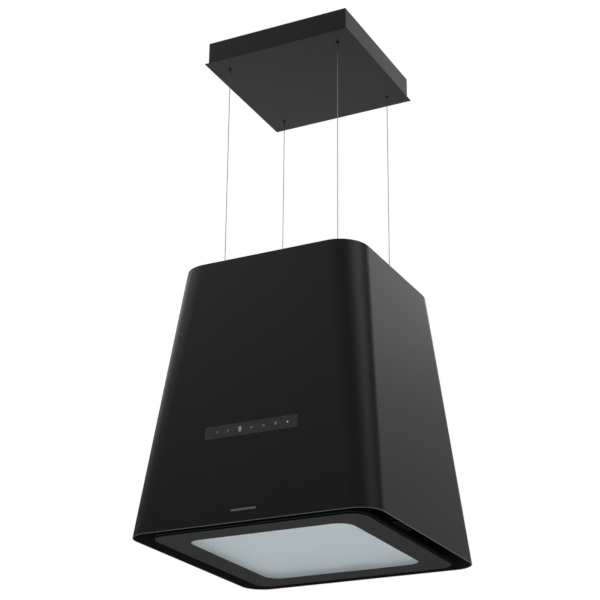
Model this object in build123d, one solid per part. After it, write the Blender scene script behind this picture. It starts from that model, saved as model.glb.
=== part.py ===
"""Island range hood hung from a ceiling canopy on four wires, in millimetres.

The origin is the centre of the ceiling face, +Z is up, -Y is the control side and +X is the
right-hand side seen from the control side. Heights inside the hood are given from its lower edge.
"""

from build123d import *
import math
import os

# Hood casing
drop = 1066.0  # ceiling face to the hood's lower edge
hood_height = 541.0
base_side = 500.0
top_side = 385.5
base_corner = 46.0
top_corner = 59.0
sheet = 1.2
seam = 0.1  # gap between the casing and the plates fitted inside it

# Plates inside the hood, as heights above the lower edge
plate = 1.5
top_plate_height = 511.0
intake_height = 85.0
flange = 15.0
filter_opening = 300.0
filter_side = 296.0
filter_low = 79.0
filter_thickness = 12.0
grille_opening = (154.0, 129.0)
grille_size = (178.0, 152.0)
grille_thickness = 2.0
grille_slot = (150.0, 6.0)
grille_slot_pitch = 11.5
grille_screw_x = 83.5
grille_screw_y = 68.0
gland_y = 140.0
gland_bore = 3.5
gland_stem = 6.0
gland_hexagon = 10.0  # half the width across its corners

# Canopy
canopy_height = 52.0
canopy_side = 315.0
lid_side = 326.0
lid_thickness = 1.5
lid_hole = 5.2
grommet_neck = 5.15
grommet_lip = 7.0
grommet_bore = 3.4
mounting_side = 300.0
mounting_thickness = 3.0
canopy_wall = 1.5
canopy_flange_low = -4.6
ceiling_screw_spacing = 200.0
ceiling_screw_radius = 3.0
cable_entry_radius = 8.0
cable_entry_y = 60.0
canopy_screw_places = [(-144, 0), (144, 0), (0, -144), (0, 144)]

# Suspension
wire_spacing = 248.0
wire_radius = 0.75
ball_radius = 6.0
ball_bore = 1.25
socket_fit = 0.05
upper_pivot = -26.0
lower_pivot_height = 513.0
stop_gap = 0.3
stop_radius = 3.0
stop_length = 6.0
wire_opening = 3.5  # radius above or below a ball, wide enough for the sway
socket_radius = 11.0
socket_flange = 14.0
anchor_hole = 7.0

# Touch strip and blank badge on the sloping front
strip_width = 190.5
strip_height = 25.8
strip_centre = 178.6
badge_size = (50.0, 4.0, 0.6)
badge_centre = (-2.5, 22.7)

# Hinged light panel
panel_size = (427.0, 442.5)
panel_corner = 32.0
panel_low = -1.2
glass_thickness = 5.0
window_size = (330.4, 342.0)
window_corner = 30.0
window_step = 1.2
tray_size = (421.0, 436.5)
light_box_size = (352.0, 364.0)
light_box_top = 38.0
tray_rim = 11.0
catch_x = 150.0
hinge_y = 200.0
hinge_height = 24.0
hinge_x = 142.5
pin_radius = 4.0
running_gap = 0.05

# Blower
blower_y = 62.5
blower_height = 275.0
blower_half_width = 75.0
outlet_height = 430.0
volute_radius = 98.0
volute_step = 9.0
housing_wall = 2.0
inlet_radius = 70.0
wheel_radius = 90.0
blade_depth = 14.0
blade_count = 36
wheel_half_width = 66.0
shaft_radius = 4.0
motor_radius = 44.0
collar_radius = 84.0
cartridge_radius = 96.0
bayonet_turns = (90, 210, 330)
strap_low = 395.0

taper = (base_side - top_side) / 2 / hood_height
slope = math.degrees(math.atan(taper))
tray_low = panel_low + glass_thickness


def level(height):
    """Z of a height above the hood's lower edge."""
    return height - drop


def block(xs, ys, zs):
    size = (xs[1] - xs[0], ys[1] - ys[0], zs[1] - zs[0])
    return Pos(sum(xs) / 2, sum(ys) / 2, sum(zs) / 2) * Box(*size)


def rod(x, y, zs, radius):
    return Pos(x, y, sum(zs) / 2) * Cylinder(radius, zs[1] - zs[0])


def axle(xs, y, z, radius):
    return Pos(sum(xs) / 2, y, z) * Rot(0, 90, 0) * Cylinder(radius, xs[1] - xs[0])


def slab(size, corner, zs):
    return Pos(0, 0, zs[0]) * extrude(RectangleRounded(*size, corner), zs[1] - zs[0])


def corners(spacing):
    half = spacing / 2
    return [(-half, -half), (half, -half), (half, half), (-half, half)]


def group(solids):
    return Compound(children=list(solids))


def save(name, shape):
    export_step(shape, f"parts/{name}.step")


# ---------------------------------------------------------------- hood casing


def outline(height, inset):
    share = height / hood_height
    side = base_side + (top_side - base_side) * share - 2 * inset
    corner = base_corner + (top_corner - base_corner) * share - inset
    return Pos(0, 0, level(height)) * RectangleRounded(side, side, corner)


def tapered(low, high, inset):
    """Solid with the casing's own taper, set in by a horizontal distance.

    Its sides are flat faces, joined by ruled corners that grow from one radius to the other.
    """
    lower = outline(low, inset).face()
    upper = outline(high, inset).face()
    faces = [lower, upper]
    for below, above in zip(lower.outer_wire().edges(), upper.outer_wire().edges()):
        if below.geom_type == GeomType.LINE:
            points = [below @ 0, below @ 1, above @ 1, above @ 0]
            faces.append(Face(Wire.make_polygon(points)))
        else:
            faces.append(Face.make_surface_from_curves(below, above))
    return Solid(Shell(faces))


def front_plane(height):
    """Plane on the sloping front, x to the right, y up the slope, z out of the hood."""
    normal = (0, -math.cos(math.radians(slope)), math.sin(math.radians(slope)))
    return Plane(
        origin=(0, taper * height - base_side / 2, level(height)),
        x_dir=(1, 0, 0),
        z_dir=normal,
    )


def on_front(size, corner, centre, depths):
    flat = Pos(centre[0], 0, depths[0]) * RectangleRounded(size[0], size[1], corner)
    return front_plane(centre[1]) * extrude(flat, depths[1] - depths[0])


def outer_shell():
    gap = 0.4
    shell = tapered(0, hood_height, 0) - tapered(-1, hood_height + 1, sheet)
    size = (strip_width + gap, strip_height + gap)
    return shell - on_front(size, 3.2, (0, strip_centre), (-4, 4))


def top_plate():
    inset = sheet + seam
    body = tapered(top_plate_height - flange, top_plate_height, inset)
    body -= tapered(top_plate_height - flange - 1, top_plate_height - plate, inset + plate)
    zs = (level(top_plate_height - 5), level(top_plate_height + 5))
    half_x, half_y = grille_opening[0] / 2, grille_opening[1] / 2
    body -= block((-half_x, half_x), (-half_y, half_y), zs)
    for x, y in corners(wire_spacing):
        body -= rod(x, y, zs, anchor_hole)
    return body - rod(0, gland_y, zs, gland_stem + 0.2)


def intake_plate():
    inset = sheet + seam
    body = tapered(intake_height, intake_height + flange, inset)
    body -= tapered(intake_height + plate, intake_height + flange + 1, inset + plate)
    zs = (level(intake_height - 5), level(intake_height + 5))
    return body - slab((filter_opening, filter_opening), 6, zs)


def outlet_grille():
    low = level(top_plate_height)
    body = slab(grille_size, 8, (low, low + grille_thickness))
    for step in range(-5, 6):
        slot = slab(grille_slot, 2.9, (low - 1, low + 3))
        body -= Pos(0, step * grille_slot_pitch, 0) * slot
    for x, y in grille_screw_places():
        body -= rod(x, y, (low - 1, low + 3), 1.8)
    return body


def grille_screw_places():
    sides = (-1, 1)
    return [(x * grille_screw_x, y * grille_screw_y) for x in sides for y in sides]


def grille_screws():
    low = level(top_plate_height)
    heads = []
    for x, y in grille_screw_places():
        head = rod(x, y, (low + 2, low + 3.6), 3.2)
        stem = rod(x, y, (low, low + 2), 1.7)
        drive = rod(x, y, (low + 2.8, low + 4), 1.2)
        heads.append(head + stem - drive)
    return group(heads)


def cable_gland():
    top = level(top_plate_height)
    hexagon = RegularPolygon(gland_hexagon, 6)
    nut_height, body_height, dome_height = 6, 7, 12
    nut = Pos(0, 0, top - plate - nut_height) * extrude(hexagon, nut_height)
    stem = rod(0, 0, (top - plate, top), gland_stem)
    body = Pos(0, 0, top) * extrude(hexagon, body_height)
    dome = Pos(0, 0, top + body_height + dome_height / 2) * Cone(8, 5.5, dome_height)
    whole = nut + stem + body + dome
    return Pos(0, gland_y, 0) * (whole - rod(0, 0, (top - 20, top + 30), gland_bore))


# ---------------------------------------------------------------- canopy


def mounting_plate():
    body = slab((mounting_side, mounting_side), 4, (-mounting_thickness, 0))
    for x, y in corners(ceiling_screw_spacing):
        body -= rod(x, y, (-4, 1), ceiling_screw_radius)
    return body - rod(0, cable_entry_y, (-4, 1), cable_entry_radius)


def canopy_walls():
    low = lid_thickness - canopy_height
    inner = canopy_side - 2 * canopy_wall
    body = slab((canopy_side, canopy_side), 1.6, (low, -0.5))
    body -= slab((inner, inner), 0.6, (low - 1, canopy_flange_low))
    body -= slab((inner, inner), 0.6, (-mounting_thickness, 1))
    for x, y in canopy_screw_places:
        body -= rod(x, y, (-6, -1), 2.1)
    return body - slab((273, 273), 2, (-6, 1))


def canopy_lid():
    body = slab((lid_side, lid_side), 1.2, (-canopy_height, lid_thickness - canopy_height))
    for x, y in corners(wire_spacing):
        body -= rod(x, y, (-canopy_height - 1, lid_thickness - canopy_height + 1), lid_hole)
    return body


def lid_grommets():
    low, high = -canopy_height, lid_thickness - canopy_height
    rings = []
    for x, y in corners(wire_spacing):
        neck = rod(x, y, (low, high), grommet_neck)
        lip = rod(x, y, (high, high + 1.5), grommet_lip)
        rings.append(neck + lip - rod(x, y, (low - 1, high + 3), grommet_bore))
    return group(rings)


def lid_magnets():
    low = lid_thickness - canopy_height
    blocks = []
    for x, y in corners(2 * 148.5):
        blocks.append(block((x - 7, x + 7), (y - 7, y + 7), (low, low + 6)))
    return group(blocks)


def canopy_screws():
    screws = []
    for x, y in canopy_screw_places:
        head = rod(x, y, (-7, canopy_flange_low), 3.5)
        stem = rod(x, y, (canopy_flange_low, -mounting_thickness), 2)
        screws.append(head + stem)
    return group(screws)


def terminal_block():
    body = block((-30, 30), (-11, 11), (-21, -mounting_thickness))
    for step in range(-2, 3):
        body -= rod(step * 11, -5, (-22, -12), 2.2)
        body -= rod(step * 11, 5, (-22, -12), 2.2)
    return body


# ---------------------------------------------------------------- suspension


def seat_cavity(x, y, z):
    return Pos(x, y, z) * Sphere(ball_radius + socket_fit)


def upper_sockets():
    bodies = []
    for x, y in corners(wire_spacing):
        body = rod(x, y, (upper_pivot, -mounting_thickness), socket_radius)
        body -= seat_cavity(x, y, upper_pivot)
        bodies.append(body - rod(x, y, (upper_pivot, -2), 4.5))
    return group(bodies)


def upper_socket_nuts():
    bodies = []
    for x, y in corners(wire_spacing):
        body = rod(x, y, (upper_pivot - 10, upper_pivot), socket_radius)
        body -= seat_cavity(x, y, upper_pivot)
        bodies.append(body - rod(x, y, (upper_pivot - 11, upper_pivot), wire_opening))
    return group(bodies)


def anchor_sockets():
    pivot = level(lower_pivot_height)
    base = level(top_plate_height)
    bodies = []
    for x, y in corners(wire_spacing):
        body = rod(x, y, (base, pivot + 10), socket_radius)
        body += rod(x, y, (base, base + 2), socket_flange)
        body -= seat_cavity(x, y, pivot)
        body -= rod(x, y, (base - 1, pivot), ball_radius + socket_fit)
        bodies.append(body - rod(x, y, (pivot, pivot + 11), wire_opening))
    return group(bodies)


def anchor_nuts():
    pivot = level(lower_pivot_height)
    top = level(top_plate_height - plate)
    bodies = []
    for x, y in corners(wire_spacing):
        body = rod(x, y, (top - 11, top), 10) - seat_cavity(x, y, pivot)
        bodies.append(body - rod(x, y, (top - 12, top), 4.8))
    return group(bodies)


def ball(x, y, z):
    return Pos(x, y, z) * Sphere(ball_radius) - rod(x, y, (z - 7, z + 7), ball_bore)


def wire_rope(x, y):
    """Taut wire with a crimped stop above the upper ball and one below the lower ball."""
    reach = ball_radius + stop_gap
    lower = level(lower_pivot_height) - reach
    upper = upper_pivot + reach
    rope = rod(x, y, (lower - stop_length, upper + stop_length), wire_radius)
    rope += rod(x, y, (lower - stop_length, lower), stop_radius)
    return rope + rod(x, y, (upper, upper + stop_length), stop_radius)


# ---------------------------------------------------------------- controls


def touch_glass():
    return on_front((strip_width, strip_height), 3, (0, strip_centre), (-2.6, 0.4))


def touch_housing():
    body = on_front((214, 42), 4, (0, strip_centre), (-12.3, -1.35))
    return body - on_front((192, 28), 3, (0, strip_centre), (-10.3, 0))


def touch_board():
    return on_front((187, 23), 2, (0, strip_centre), (-6, -4.4))


def blank_badge():
    return on_front(badge_size[:2], 1, badge_centre, (0, badge_size[2]))


def control_box():
    low = level(intake_height + plate)
    body = block((-70, 70), (-226, -162), (low, low + 34))
    return body - block((-68, 68), (-224, -164), (low + 2, low + 35))


def control_board():
    low = level(intake_height + plate) + 6
    board = block((-64, 64), (-220, -168), (low, low + 1.6))
    relay = block((-50, -30), (-210, -195), (low + 1.6, low + 17))
    transformer = block((10, 50), (-212, -178), (low + 1.6, low + 24))
    return board + relay + transformer


def led_driver():
    low = level(intake_height + plate)
    return block((166, 214), (-60, 60), (low, low + 24))


def motor_capacitor():
    z = level(intake_height + plate) + 18
    return Pos(-200, 0, z) * Rot(90, 0, 0) * Cylinder(17.5, 70)


# ---------------------------------------------------------------- grease filter


def grease_filter_frame():
    low = level(filter_low)
    top = low + filter_thickness
    body = slab((filter_side, filter_side), 5, (low, top))
    body -= block((-135, 135), (-120, 135), (low - 1, top + 1))
    plate_top = level(intake_height + plate)
    for x in (-90, 90):
        body += block((x - 15, x + 15), (140, 156), (plate_top + 0.5, plate_top + 2))
    pocket_low = plate_top + 0.5
    body -= block((-16, 16), (-150, -124), (pocket_low, top + 1))
    return body - block((-8, 8), (-143, -125), (low - 1, top))


def grease_filter_mesh():
    low = level(filter_low) + 2
    body = block((-134.8, 134.8), (-119.8, 134.8), (low, low + 8))
    for step in range(-11, 12):
        groove = block((step * 11.5 - 2, step * 11.5 + 2), (-119, 134), (low - 1, low + 2))
        body -= groove
    return body


def filter_latch():
    plate_top = level(intake_height + plate)
    bolt = block((-15.6, 15.6), (-156, -135), (plate_top + 0.8, plate_top + 3.8))
    finger = block((-6.5, 6.5), (-141.5, -135), (level(filter_low) - 5, plate_top + 0.8))
    return bolt + finger


def latch_spring():
    """Bowed leaf against the rear wall of the latch pocket."""
    low = level(intake_height + plate) + 1.2
    near, far = -124.4, -124.1
    edges = [
        ThreePointArc((-14, near), (0, near - 2), (14, near)),
        Line((14, near), (14, far)),
        ThreePointArc((14, far), (0, far - 2), (-14, far)),
        Line((-14, far), (-14, near)),
    ]
    return Pos(0, 0, low) * extrude(make_face(edges), 2.2)


# ---------------------------------------------------------------- blower


def blower_plane(x):
    return Plane(origin=(x, blower_y, level(blower_height)), x_dir=(0, 1, 0), z_dir=(1, 0, 0))


def volute(inset, extra):
    """Spiral of three quarter arcs, each one step larger, then a straight outlet upwards."""
    first = volute_radius - inset
    second = first + volute_step
    third = second + volute_step
    start = math.degrees(math.acos(-inset / first))
    outlet = outlet_height - blower_height + extra
    left = -volute_step - third
    arcs = [
        CenterArc((0, 0), first, start, -start),
        CenterArc((-volute_step, 0), second, 0, -90),
        CenterArc((-volute_step, volute_step), third, -90, -90),
    ]
    walls = [
        Line((left, volute_step), (left, outlet)),
        Line((left, outlet), (-inset, outlet)),
        Line((-inset, outlet), arcs[0] @ 0),
    ]
    return make_face(arcs + walls)


def housing_half(side):
    """One half of the blower housing, from the middle plane to its inlet side."""
    inner_width = blower_half_width - housing_wall
    body = extrude(blower_plane(0) * volute(0, 0), side * blower_half_width)
    body -= extrude(blower_plane(0) * volute(housing_wall, 5), side * inner_width)
    wall_middle = side * blower_half_width
    xs = (wall_middle - 5, wall_middle + 5)
    return body - axle(xs, blower_y, level(blower_height), inlet_radius)


def outlet_duct():
    """Duct from the blower to the top plate, with four straps that carry the blower."""
    low = level(outlet_height - 6)
    top = level(top_plate_height - plate)
    body = block((-76.8, 76.8), (-64.2, 64.2), (low, top))
    body -= block((-75.2, 75.2), (-62.7, 62.7), (low - 1, top + 1))
    for side in (-1, 1):
        for y in (-40, 40):
            ys = (y - 14, y + 14)
            body += block(sorted((side * 76.8, side * 78.8)), ys, (level(strap_low), top))
            foot = (level(strap_low), level(strap_low + 25))
            body += block(sorted((side * 75, side * 76.8)), ys, foot)
            body += block(sorted((side * 78.8, side * 96)), ys, (top - 2, top))
    return body


def motor():
    z = level(blower_height)
    body = axle((-62, -18), blower_y, z, motor_radius)
    body += axle((-75, -62), blower_y, z, 18)
    body += axle((-18, -15), blower_y, z, 16)
    return body - axle((-80, 0), blower_y, z, shaft_radius + running_gap)


def motor_spider():
    z = level(blower_height)
    ring = axle((-77, -75), blower_y, z, 79.5) - axle((-80, -70), blower_y, z, 72)
    middle = axle((-77, -75), blower_y, z, 22) - axle((-80, -70), blower_y, z, 8)
    body = ring + middle
    for turn in (0, 120, 240):
        arm = blower_plane(-77) * Rot(0, 0, turn + 30) * Pos(48, 0, 1) * Box(54, 10, 2)
        body += arm
    return body


def motor_shaft():
    return axle((-74, 14), blower_y, level(blower_height), shaft_radius)


def impeller():
    z = level(blower_height)
    pitch = 360 / blade_count
    blades = Sketch()
    for index in range(blade_count):
        place = Rot(0, 0, index * pitch) * Pos(wheel_radius - blade_depth / 2 - 0.8, 0)
        blades += place * Rot(0, 0, 35) * Rectangle(blade_depth, 1.2)
    body = extrude(blower_plane(-wheel_half_width) * blades, 2 * wheel_half_width)
    for x in (-wheel_half_width, wheel_half_width - 2):
        ring = axle((x, x + 2), blower_y, z, wheel_radius)
        body += ring - axle((x - 1, x + 3), blower_y, z, wheel_radius - blade_depth)
    body += axle((-1.5, 1.5), blower_y, z, wheel_radius - 1)
    body += axle((-12, 12), blower_y, z, 13)
    return body - axle((-20, 20), blower_y, z, shaft_radius)


def sector(low, high, width, centre):
    """Flat ring sector in the blower plane, from one radius to another."""
    ring = Circle(high) - Circle(low)
    reach = high * 1.2
    half = math.radians(width / 2)
    wedge = make_face(
        Polyline((0, 0), (reach, -reach * math.tan(half)), (reach, reach * math.tan(half)), (0, 0))
    )
    return Rot(0, 0, centre) * (ring & wedge)


def filter_collars():
    """Round collars on both inlets, each with three outward bayonet tabs."""
    z = level(blower_height)
    bodies = []
    for side in (-1, 1):
        xs = sorted((side * blower_half_width, side * 88))
        body = axle(xs, blower_y, z, collar_radius)
        body -= axle((xs[0] - 1, xs[1] + 1), blower_y, z, collar_radius - 4)
        for turn in bayonet_turns:
            tab = sector(collar_radius - 1, collar_radius + 3.2, 20, turn)
            body += extrude(blower_plane(side * 85) * tab, side * 3)
        bodies.append(body)
    return group(bodies)


def charcoal_filter(side):
    """Round cartridge whose inward lugs turn in behind the collar's tabs."""
    z = level(blower_height)
    near, deck, far = side * 78, side * 89, side * 112
    body = axle(sorted((near, far)), blower_y, z, cartridge_radius)
    body -= axle(sorted((near - side, deck)), blower_y, z, 88)
    window = Circle(82) - Circle(24)
    for turn in range(0, 360, 60):
        window -= Rot(0, 0, turn) * Pos(50, 0) * Rectangle(80, 6)
    body -= extrude(blower_plane(far - side * 3) * window, side * 4)
    body -= extrude(blower_plane(deck - side) * window, side * 3)
    for turn in bayonet_turns:
        lug = sector(collar_radius + 0.4, 88.5, 20, turn)
        body += extrude(blower_plane(side * 81) * lug, side * 3.6)
    return body


# ---------------------------------------------------------------- light panel


def panel_glass():
    low = level(panel_low)
    body = slab(panel_size, panel_corner, (low, low + glass_thickness))
    return body - slab(window_size, window_corner, (low - 1, low + glass_thickness + 1))


def window_glass():
    gap = 0.2
    size = (window_size[0] - 2 * gap, window_size[1] - 2 * gap)
    zs = (level(panel_low + window_step), level(tray_low))
    return slab(size, window_corner - gap, zs)


def panel_tray():
    """Folded sheet tray: a shallow rim on the glass and a raised box over the light."""
    low, rim, top = level(tray_low), level(tray_rim), level(light_box_top)
    inner_rim = (tray_size[0] - 2 * sheet, tray_size[1] - 2 * sheet)
    inner_box = (light_box_size[0] - 2 * sheet, light_box_size[1] - 2 * sheet)
    body = slab(tray_size, 29, (low, rim)) + slab(light_box_size, 20, (low, top))
    body -= slab(inner_rim, 27.8, (low - 1, rim - sheet))
    return body - slab(inner_box, 18.8, (low - 1, top - sheet))


def light_chamber():
    """White reflector with rounded upper edges, open to the window."""
    low, top = level(tray_low), level(31)
    outer = slab((348, 360), 18, (low, top))
    outer = fillet(outer.edges().group_by(Axis.Z)[-1], 14)
    inner = slab((346, 358), 17, (low - 1, top - 1))
    inner = fillet(inner.edges().group_by(Axis.Z)[-1], 13)
    return outer - inner


def led_strips():
    low, top = level(6), level(14)
    strips = []
    for side in (-1, 1):
        board = block(sorted((side * 171.4, side * 172.6)), (-140, 140), (low, top))
        for step in range(-4, 5):
            ys = (step * 30 - 3, step * 30 + 3)
            board += block(sorted((side * 170.2, side * 171.4)), ys, (low + 2, top - 2))
        strips.append(board)
    return group(strips)


def striker_plates():
    zs = (level(tray_rim), level(tray_rim + 1.2))
    return group([block((x - 14, x + 14), (-212, -188), zs) for x in (-catch_x, catch_x)])


def knuckle(x_low, x_high, root_z):
    """Upright plate with a round end at the hinge pin, and a hole for the pin."""
    z = level(hinge_height)
    body = axle((x_low, x_high), hinge_y, z, 10)
    body += block((x_low, x_high), (hinge_y - 10, hinge_y + 10), sorted((z, root_z)))
    return body - axle((x_low - 1, x_high + 1), hinge_y, z, pin_radius + running_gap)


def hinge_ears():
    ears = []
    for side in (-1, 1):
        xs = sorted((side * (hinge_x - 1.5), side * (hinge_x + 1.5)))
        ear = knuckle(xs[0], xs[1], level(tray_rim))
        zs = (level(tray_rim), level(tray_rim + 1.5))
        ears.append(ear + block(sorted((side * 118, side * hinge_x)), (192, 208), zs))
    return group(ears)


def hinge_brackets():
    top = level(intake_height)
    brackets = []
    for side in (-1, 1):
        body = block(sorted((side * 128, side * 157)), (190, 210), (top - 2, top))
        for offset in (-5, 5):
            middle = side * (hinge_x + offset)
            body += knuckle(middle - 1.5, middle + 1.5, top - 1)
        brackets.append(body)
    return group(brackets)


def hinge_pins():
    z = level(hinge_height)
    pins = []
    for side in (-1, 1):
        xs = sorted((side * (hinge_x - 7.5), side * (hinge_x + 7.5)))
        pin = axle(xs, hinge_y, z, pin_radius)
        outer = sorted((side * (hinge_x + 6.6), side * (hinge_x + 8.6)))
        pins.append(pin + axle(outer, hinge_y, z, 6))
    return group(pins)


def catch_brackets():
    top, low = level(intake_height), level(15.5)
    brackets = []
    for x in (-catch_x, catch_x):
        xs = (x - 10, x + 10)
        body = block(xs, (-192, -190), (low, top))
        body += block(xs, (-210, -190), (low, low + 2))
        brackets.append(body + block(xs, (-210, -190), (top - 2, top)))
    return group(brackets)


def catch_magnets():
    zs = (level(12.4), level(15.5))
    return group([block((x - 9, x + 9), (-209, -193), zs) for x in (-catch_x, catch_x)])


def main():
    os.makedirs("parts", exist_ok=True)
    single = [
        outer_shell, top_plate, intake_plate, outlet_grille, grille_screws, cable_gland,
        mounting_plate, canopy_walls, canopy_lid, lid_grommets, lid_magnets, canopy_screws,
        terminal_block, upper_sockets, upper_socket_nuts, anchor_sockets, anchor_nuts,
        touch_glass, touch_housing, touch_board, blank_badge, control_box, control_board,
        led_driver, motor_capacitor, grease_filter_frame, grease_filter_mesh, filter_latch,
        latch_spring, outlet_duct, motor, motor_spider, motor_shaft, impeller, filter_collars,
        panel_glass, window_glass, panel_tray, light_chamber, led_strips, striker_plates,
        hinge_ears, hinge_brackets, hinge_pins, catch_brackets, catch_magnets,
    ]
    for make in single:
        save(make.__name__, make())
    for side, name in ((-1, "left"), (1, "right")):
        save(f"blower_housing_{name}", housing_half(side))
        save(f"charcoal_filter_{name}", charcoal_filter(side))
    places = corners(wire_spacing)
    for number, (x, y) in enumerate(places, 1):
        save(f"swivel_ball_{number}", ball(x, y, upper_pivot))
        save(f"wire_rope_{number}", wire_rope(x, y))
    balls = [ball(x, y, level(lower_pivot_height)) for x, y in places]
    save("anchor_ball_first", balls[0])
    save("anchor_balls_other", group(balls[1:]))


main()
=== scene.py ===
"""Looks for an island range hood hung on four wires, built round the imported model.

Everything is in metres in the model's own frame: the origin is the centre of the ceiling face,
+Z is up, -Y is the control side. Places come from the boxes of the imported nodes.
"""

import math

import bmesh
import bpy
from mathutils import Matrix, Vector


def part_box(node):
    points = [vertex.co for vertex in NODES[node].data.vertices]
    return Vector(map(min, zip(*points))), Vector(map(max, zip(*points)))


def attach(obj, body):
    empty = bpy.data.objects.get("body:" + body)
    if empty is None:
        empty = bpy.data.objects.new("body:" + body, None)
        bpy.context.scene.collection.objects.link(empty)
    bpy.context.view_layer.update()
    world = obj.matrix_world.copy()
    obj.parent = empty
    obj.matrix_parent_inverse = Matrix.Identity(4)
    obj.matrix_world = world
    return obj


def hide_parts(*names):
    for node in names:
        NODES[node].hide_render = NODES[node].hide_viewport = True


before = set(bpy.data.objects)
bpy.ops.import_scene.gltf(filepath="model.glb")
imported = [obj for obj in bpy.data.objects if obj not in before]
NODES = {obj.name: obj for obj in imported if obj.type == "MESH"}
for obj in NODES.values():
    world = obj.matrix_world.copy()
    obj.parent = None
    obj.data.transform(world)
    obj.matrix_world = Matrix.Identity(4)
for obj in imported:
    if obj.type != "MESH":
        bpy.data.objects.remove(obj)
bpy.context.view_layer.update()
MM = 0.001

# ------------------------------------------------------------------ view and studio

EYE = Vector((1.3451, -2.7013, -1.8139))
TURN = 26.791  # degrees to the left of straight ahead
PITCH = 22.71  # degrees upwards
ROLL = 0.48
LENS = 97.95  # on a 36 mm sensor
FLOOR_Z = -2.45
FLOOR_SHADE = 0.72
FLOOR_SIDE = 16
MIDDLE = Vector((0, 0, -0.75))  # what the softboxes face

# Softboxes round the object: azimuth (0 in front, 90 on the right), elevation and watts
SOFTBOXES = {
    "rear_left": (210, 20, 98.0),
    "rear_top": (180, 40, 37.5),
    "right_top": (90, 45, 20.4),
    "left_top": (300, 45, 14.6),
    "rear_low": (165, 20, 5.5),
    "front_top": (0, 45, 3.7),
    "left_rear": (250, 36, 17.0),
}
SOFTBOX_DISTANCE = 3.4
SOFTBOX_SIZE = 1.7
FILL = 0.058  # strength of the even light from all round


def make_camera():
    """Looks up at the hood from in front of it and to its right."""
    data = bpy.data.cameras.new("camera")
    data.lens = LENS
    data.sensor_width = 36.0
    data.clip_end = 60.0
    camera = bpy.data.objects.new("camera", data)
    turn = Matrix.Rotation(math.radians(TURN), 4, "Z")
    pitch = Matrix.Rotation(math.radians(90 + PITCH), 4, "X")
    roll = Matrix.Rotation(math.radians(ROLL), 4, "Z")
    camera.matrix_world = Matrix.Translation(EYE) @ turn @ pitch @ roll
    bpy.context.collection.objects.link(camera)
    bpy.context.scene.camera = camera


def softbox(name, azimuth, elevation, power):
    """Square light that faces the middle of the object from a direction."""
    data = bpy.data.lights.new(name, "AREA")
    data.shape = "SQUARE"
    data.size = SOFTBOX_SIZE
    data.energy = power
    light = bpy.data.objects.new(name, data)
    turn, lift = math.radians(azimuth), math.radians(elevation)
    out = Vector((math.sin(turn) * math.cos(lift), -math.cos(turn) * math.cos(lift), math.sin(lift)))
    light.location = MIDDLE + out * SOFTBOX_DISTANCE
    light.rotation_euler = (-out).to_track_quat("-Z", "Y").to_euler()
    bpy.context.collection.objects.link(light)


def make_world():
    """White behind the object, and a dim even grey as the light that reaches it."""
    world = bpy.data.worlds.new("studio")
    bpy.context.scene.world = world
    world.use_nodes = True
    tree = world.node_tree
    tree.nodes.clear()
    output = tree.nodes.new("ShaderNodeOutputWorld")
    mix = tree.nodes.new("ShaderNodeMixShader")
    seen = tree.nodes.new("ShaderNodeBackground")
    lit = tree.nodes.new("ShaderNodeBackground")
    path = tree.nodes.new("ShaderNodeLightPath")
    seen.inputs["Color"].default_value = (1, 1, 1, 1)
    lit.inputs["Color"].default_value = (1, 1, 1, 1)
    lit.inputs["Strength"].default_value = FILL
    tree.links.new(path.outputs["Is Camera Ray"], mix.inputs[0])
    tree.links.new(lit.outputs[0], mix.inputs[1])
    tree.links.new(seen.outputs[0], mix.inputs[2])
    tree.links.new(mix.outputs[0], output.inputs["Surface"])


def floor_white():
    """Pale matt floor, seen at one even shade, and clear when looked through from below."""
    material = plain("floor", (0.8, 0.8, 0.8), 0.9)
    tree = material.node_tree
    output = tree.nodes["Material Output"]
    path = tree.nodes.new("ShaderNodeLightPath")
    side = tree.nodes.new("ShaderNodeNewGeometry")
    even = tree.nodes.new("ShaderNodeEmission")
    even.inputs["Color"].default_value = (FLOOR_SHADE, FLOOR_SHADE, FLOOR_SHADE, 1)
    clear = tree.nodes.new("ShaderNodeBsdfTransparent")
    seen = tree.nodes.new("ShaderNodeMixShader")
    mix = tree.nodes.new("ShaderNodeMixShader")
    tree.links.new(side.outputs["Backfacing"], seen.inputs[0])
    tree.links.new(even.outputs[0], seen.inputs[1])
    tree.links.new(clear.outputs[0], seen.inputs[2])
    tree.links.new(path.outputs["Is Camera Ray"], mix.inputs[0])
    tree.links.new(shader_of(material).outputs[0], mix.inputs[1])
    tree.links.new(seen.outputs[0], mix.inputs[2])
    tree.links.new(mix.outputs[0], output.inputs["Surface"])
    return material


def make_floor():
    bpy.ops.mesh.primitive_plane_add(size=FLOOR_SIDE, location=(0, 0, FLOOR_Z))
    floor = bpy.context.object
    floor.name = "floor"
    floor.data.materials.append(floor_white())


def make_studio():
    make_world()
    for name, (azimuth, elevation, power) in SOFTBOXES.items():
        softbox(name, azimuth, elevation, power)
    bpy.context.scene.view_settings.view_transform = "Standard"
    make_floor()


# ------------------------------------------------------------------ material nodes


def plain(name, colour, roughness, metallic=0.0):
    material = bpy.data.materials.new(name)
    material.use_nodes = True
    shader = material.node_tree.nodes["Principled BSDF"]
    shader.inputs["Base Color"].default_value = (*colour, 1)
    shader.inputs["Roughness"].default_value = roughness
    shader.inputs["Metallic"].default_value = metallic
    return material


def shader_of(material):
    return material.node_tree.nodes["Principled BSDF"]


def place_on(material, stretch=(1, 1, 1)):
    """Object coordinates, which stay on the surface, stretched along the axes."""
    tree = material.node_tree
    coords = tree.nodes.new("ShaderNodeTexCoord")
    mapping = tree.nodes.new("ShaderNodeMapping")
    mapping.inputs["Scale"].default_value = stretch
    tree.links.new(coords.outputs["Object"], mapping.inputs["Vector"])
    return mapping.outputs["Vector"]


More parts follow.
